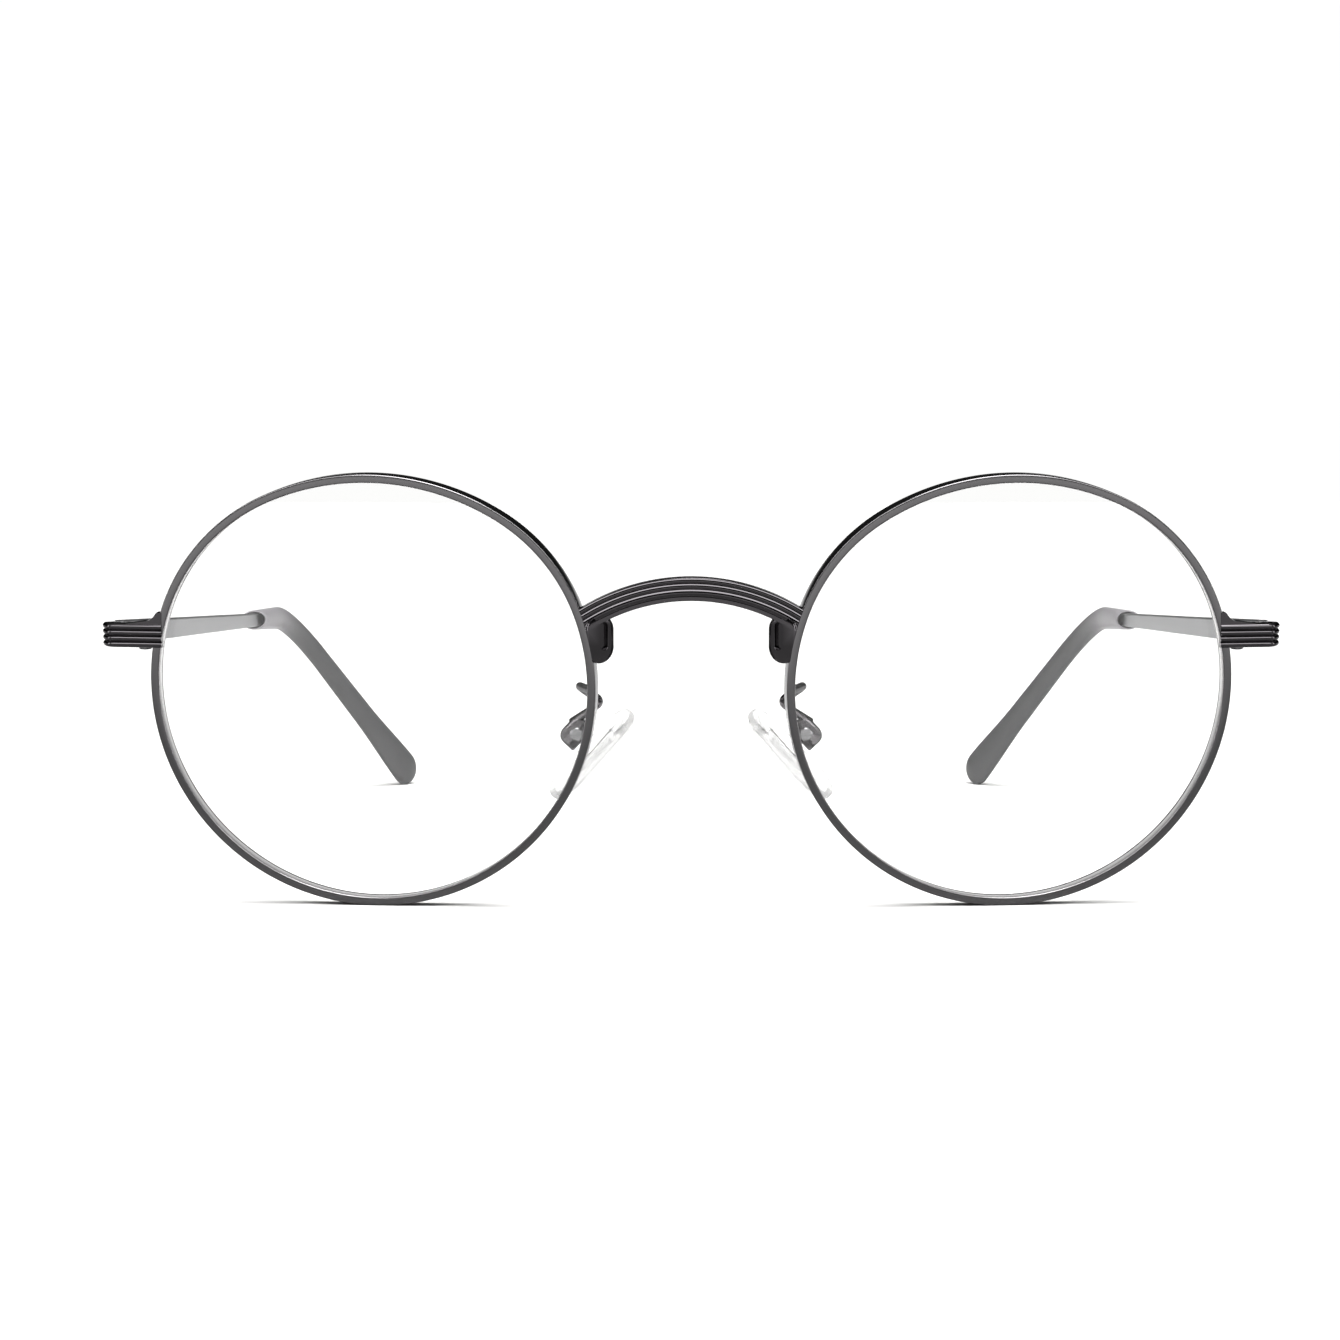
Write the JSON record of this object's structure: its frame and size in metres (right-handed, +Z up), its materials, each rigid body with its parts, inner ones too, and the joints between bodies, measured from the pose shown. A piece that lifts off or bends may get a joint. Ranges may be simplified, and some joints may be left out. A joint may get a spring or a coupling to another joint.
{
  "type": "eyeglasses",
  "caption": "Round metal-rimmed eyeglasses with a ribbed bridge and endpieces, clear lenses, rocking nose pads and folding temples with moulded tips.",
  "frame": {"origin": "bottom centre of the whole open frame's box, on the surface it stands on", "axes": "+X towards the wearer's left, +Y back along the temples from the lenses, +Z up"},
  "size_m": [0.14, 0.1418, 0.0516],
  "materials": {
    "frame_metal": "polished dark gunmetal plating",
    "temple_metal": "satin light grey",
    "screw_steel": "turned steel",
    "tip_plastic": "moulded, satin dark grey",
    "lens": "clear, anti-reflection coated",
    "pad_clear": "clear, soft"
  },
  "bodies": {
    "front": {"bridge": "frame_metal", "left_rim": "frame_metal", "left_lens": "lens", "left_endpiece": "frame_metal", "left_lock_upper": "frame_metal", "left_lock_lower": "frame_metal", "left_lock_screw": "screw_steel", "left_hinge_front": "frame_metal", "left_hinge_screw": "screw_steel", "left_pad_arm": "frame_metal", "left_pad_box": "frame_metal", "left_pad_screw": "screw_steel", "right_rim": "frame_metal", "right_lens": "lens", "right_endpiece": "frame_metal", "right_lock_upper": "frame_metal", "right_lock_lower": "frame_metal", "right_lock_screw": "screw_steel", "right_hinge_front": "frame_metal", "right_hinge_screw": "screw_steel", "right_pad_arm": "frame_metal", "right_pad_box": "frame_metal", "right_pad_screw": "screw_steel"},
    "temple_left": {"left_hinge_rear": "temple_metal", "left_temple": "temple_metal", "left_temple_tip": "tip_plastic"},
    "temple_right": {"right_hinge_rear": "temple_metal", "right_temple": "temple_metal", "right_temple_tip": "tip_plastic"},
    "pad_left": {"left_nose_pad": "pad_clear", "left_pad_insert": "pad_clear"},
    "pad_right": {"right_nose_pad": "pad_clear", "right_pad_insert": "pad_clear"}
  },
  "joints": [
    {"name": "temple_left_fold", "type": "hinge", "parent": "front", "child": "temple_left", "pos_m": [0.06745, -0.05765, 0.03238], "axis": [0, 0.0332, 0.9995], "range_deg": [0, 78]},
    {"name": "temple_right_fold", "type": "hinge", "parent": "front", "child": "temple_right", "pos_m": [-0.06745, -0.05765, 0.03238], "axis": [0, -0.0332, -0.9995], "range_deg": [0, 47]},
    {"name": "pad_left_rock", "type": "hinge", "parent": "front", "child": "pad_left", "pos_m": [0.01384, -0.05787, 0.02021], "axis": [0, 1, 0], "range_deg": [-10, 10]},
    {"name": "pad_right_rock", "type": "hinge", "parent": "front", "child": "pad_right", "pos_m": [-0.01384, -0.05787, 0.02021], "axis": [0, -1, 0], "range_deg": [-10, 10]}
  ]
}
